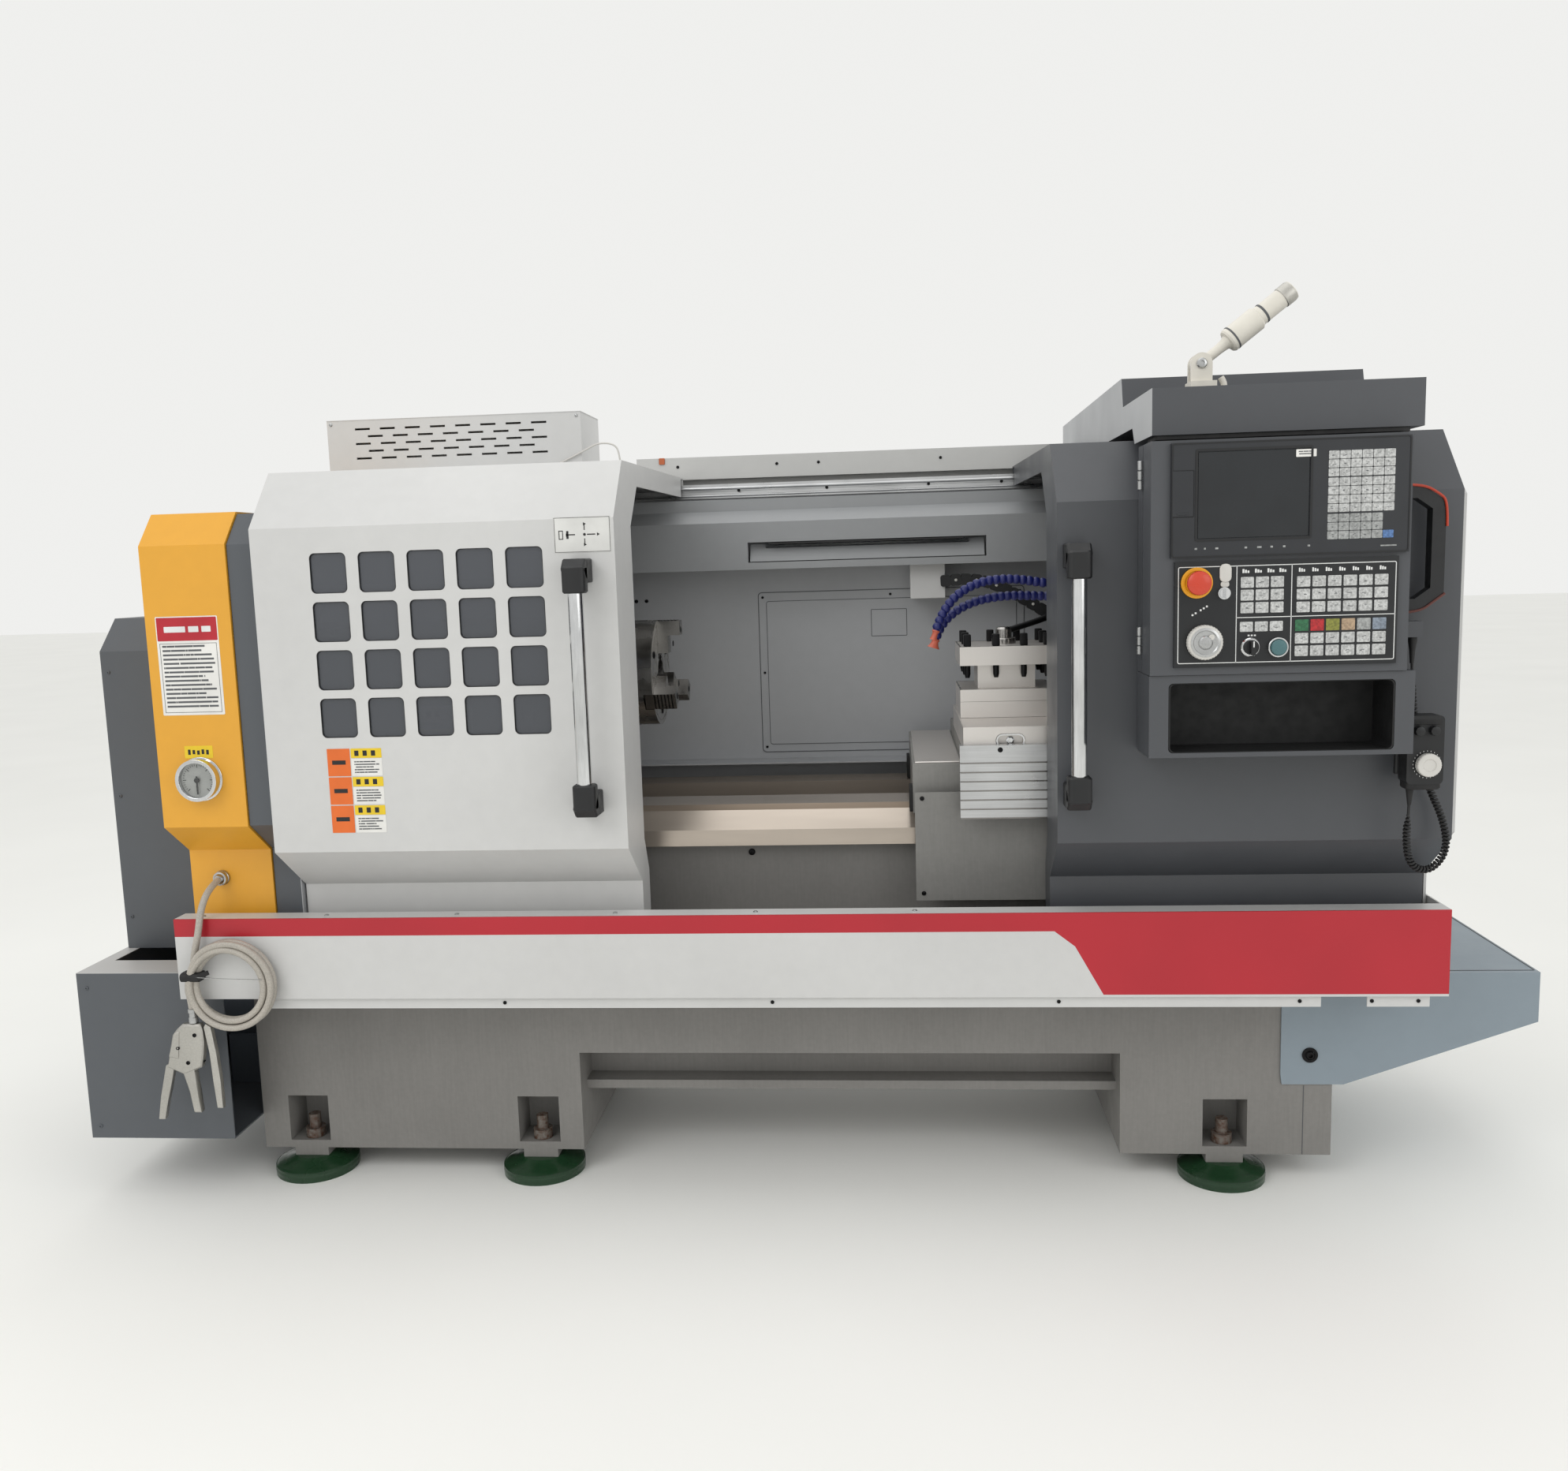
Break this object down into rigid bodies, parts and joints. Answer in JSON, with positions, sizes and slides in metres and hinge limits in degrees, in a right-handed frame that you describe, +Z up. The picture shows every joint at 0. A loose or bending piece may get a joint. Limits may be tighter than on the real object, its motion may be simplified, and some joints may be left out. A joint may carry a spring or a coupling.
{
  "type": "cnc turning lathe",
  "caption": "Flat-bed CNC turning lathe with sliding doors, three-jaw chuck, indexing toolpost, hinged control panel, chip tray and coolant tank on levelling pads.",
  "frame": {"origin": "on the floor under the middle of the machine's overall box", "axes": "+X along the spindle axis from headstock to tailstock, +Y from the operator's side into the machine, +Z up"},
  "size_m": [2.862, 1.316, 1.6876],
  "materials": {
    "cream_paint": "cream-white powder coat",
    "dark_grey_paint": "dark grey powder coat",
    "mid_grey_paint": "grey machine enamel",
    "wall_grey_paint": "light grey powder coat",
    "yellow_paint": "ochre yellow powder coat",
    "tank_paint": "blue-grey powder coat",
    "foot_paint": "dark green gloss enamel",
    "cast_iron": "painted grey iron casting with ground ways",
    "ground_steel": "ground steel",
    "chuck_steel": "turned and ground steel",
    "aluminium": "anodised aluminium",
    "chrome": "polished chrome",
    "clear_sheet": "clear polycarbonate",
    "black_plastic": "black matt plastic",
    "panel_black": "black satin overlay",
    "red_plastic": "red gloss plastic",
    "light_plastic": "light grey plastic",
    "blue_plastic": "blue jointed plastic hose",
    "hose_plastic": "braided clear hose",
    "gun_metal": "die-cast alloy",
    "rubber_black": "black rubber"
  },
  "bodies": {
    "machine": {"bed_base": "cast_iron", "leveling_pads": "foot_paint", "lathe_bed": "cast_iron", "chip_tray": "cream_paint", "motor_cover": "mid_grey_paint", "end_cover": "mid_grey_paint", "gearbox_cover": "yellow_paint", "splash_guard": "wall_grey_paint", "top_beam": "wall_grey_paint", "door_rail": "aluminium", "headstock": "mid_grey_paint", "spindle_motor": "mid_grey_paint", "control_cabinet": "dark_grey_paint", "storage_pocket": "dark_grey_paint", "bow_handle": "black_plastic", "overhead_trunk": "dark_grey_paint", "electrical_cabinet": "cream_paint", "resistor_box": "cream_paint", "coolant_tank": "tank_paint", "gauge_body": "chrome", "lamp_base": "light_plastic", "air_hose_gland": "rubber_black", "air_hose": "hose_plastic", "air_hose_coil": "hose_plastic", "blow_gun": "gun_metal", "pendant": "black_plastic", "pendant_cord": "rubber_black"},
    "left_door": {"left_door": "cream_paint", "left_door_window": "clear_sheet", "left_door_handle": "chrome"},
    "right_door": {"right_door": "dark_grey_paint", "right_door_handle": "chrome"},
    "panel_door": {"panel_door": "dark_grey_paint", "display_unit": "dark_grey_paint", "operator_panel": "panel_black"},
    "e_stop": {"e_stop_button": "red_plastic"},
    "jog_wheel": {"jog_wheel": "light_plastic"},
    "key_switch": {"key_switch": "ground_steel"},
    "selector": {"selector_knob": "black_plastic"},
    "push_button": {"push_button": "black_plastic"},
    "spindle": {"spindle": "chuck_steel", "spindle_pulley": "ground_steel", "chuck_body": "chuck_steel"},
    "jaw_1": {"chuck_jaw_1": "chuck_steel"},
    "jaw_2": {"chuck_jaw_2": "chuck_steel"},
    "jaw_3": {"chuck_jaw_3": "chuck_steel"},
    "motor_rotor": {"motor_pulley": "ground_steel"},
    "carriage": {"saddle": "mid_grey_paint", "apron_plate": "mid_grey_paint", "slat_curtain": "aluminium"},
    "cross_slide": {"cross_slide": "ground_steel", "turret_base": "ground_steel", "coolant_hoses": "blue_plastic"},
    "turret": {"turret": "ground_steel"},
    "tailstock": {"tailstock": "mid_grey_paint"},
    "quill": {"tailstock_quill": "ground_steel"},
    "gauge_needle": {"gauge_needle": "red_plastic"},
    "lamp_arm": {"lamp_arm": "light_plastic"},
    "gun_trigger": {"gun_trigger": "gun_metal"},
    "pendant_dial": {"pendant_dial": "light_plastic"}
  },
  "joints": [
    {"name": "left_door_slide", "type": "slide", "parent": "machine", "child": "left_door", "axis": [1, 0, 0], "range_m": [0, 0.391]},
    {"name": "right_door_slide", "type": "slide", "parent": "machine", "child": "right_door", "axis": [-1, 0, 0], "range_m": [0, 0.391]},
    {"name": "panel_door_swing", "type": "hinge", "parent": "machine", "child": "panel_door", "pos_m": [0.635, -0.552, 1.228], "axis": [0, 0, -1], "range_deg": [0, 90]},
    {"name": "e_stop_press", "type": "slide", "parent": "panel_door", "child": "e_stop", "axis": [0, 1, 0], "range_m": [0, 0.005]},
    {"name": "jog_wheel_turn", "type": "hinge", "parent": "panel_door", "child": "jog_wheel", "pos_m": [0.725, -0.632, 1.091], "axis": [0, -1, 0], "continuous": true},
    {"name": "key_turn", "type": "hinge", "parent": "panel_door", "child": "key_switch", "pos_m": [0.756, -0.632, 1.171], "axis": [0, -1, 0], "range_deg": [-60, 0]},
    {"name": "selector_turn", "type": "hinge", "parent": "panel_door", "child": "selector", "pos_m": [0.8, -0.632, 1.081], "axis": [0, -1, 0], "range_deg": [-135, 135]},
    {"name": "push_button_press", "type": "slide", "parent": "panel_door", "child": "push_button", "axis": [0, 1, 0], "range_m": [0, 0.004], "stiffness_N_per_m": 300},
    {"name": "spindle_turn", "type": "hinge", "parent": "machine", "child": "spindle", "pos_m": [-0.297, -0.017, 1.014], "axis": [1, 0, 0], "continuous": true},
    {"name": "motor_turn", "type": "hinge", "parent": "machine", "child": "motor_rotor", "pos_m": [-1.297, -0.072, 0.3], "axis": [1, 0, 0], "continuous": true},
    {"name": "carriage_feed", "type": "slide", "parent": "machine", "child": "carriage", "axis": [1, 0, 0], "range_m": [-0.5, 0.2]},
    {"name": "cross_feed", "type": "slide", "parent": "carriage", "child": "cross_slide", "axis": [0, 1, 0], "range_m": [0, 0.15]},
    {"name": "turret_index", "type": "hinge", "parent": "cross_slide", "child": "turret", "pos_m": [0.4435, -0.0755, 0.95], "axis": [0, 0, 1], "continuous": true},
    {"name": "tailstock_move", "type": "slide", "parent": "machine", "child": "tailstock", "axis": [1, 0, 0], "range_m": [-0.25, 0.02]},
    {"name": "quill_feed", "type": "slide", "parent": "tailstock", "child": "quill", "axis": [-1, 0, 0], "range_m": [0, 0.1]},
    {"name": "gauge_needle_turn", "type": "hinge", "parent": "machine", "child": "gauge_needle", "pos_m": [-1.109, -0.497, 0.867], "axis": [0, 1, 0], "range_deg": [0, 270]},
    {"name": "lamp_fold", "type": "hinge", "parent": "machine", "child": "lamp_arm", "pos_m": [0.745, -0.492, 1.558], "axis": [0, -1, 0], "range_deg": [-20, 52]},
    {"name": "trigger_squeeze", "type": "hinge", "parent": "machine", "child": "gun_trigger", "pos_m": [-1.132, -0.495, 0.381], "axis": [0, 1, 0], "range_deg": [0, 6], "stiffness_Nm_per_rad": 0.4},
    {"name": "pendant_dial_turn", "type": "hinge", "parent": "machine", "child": "pendant_dial", "pos_m": [1.107, -0.584, 0.872], "axis": [0, -1, 0], "continuous": true},
    {"name": "jaw_1_slide", "type": "slide", "parent": "spindle", "child": "jaw_1", "axis": [0, 0, 1], "range_m": [-0.01, 0.01]},
    {"name": "jaw_2_slide", "type": "slide", "parent": "spindle", "child": "jaw_2", "axis": [0, -0.866, -0.5], "range_m": [-0.01, 0.01]},
    {"name": "jaw_3_slide", "type": "slide", "parent": "spindle", "child": "jaw_3", "axis": [0, 0.866, -0.5], "range_m": [-0.01, 0.01]}
  ],
  "couplings": [
    {"joint": "motor_turn", "follows": "spindle_turn", "ratio": 1.6},
    {"joint": "jaw_2_slide", "follows": "jaw_1_slide", "ratio": 1},
    {"joint": "jaw_3_slide", "follows": "jaw_1_slide", "ratio": 1}
  ]
}
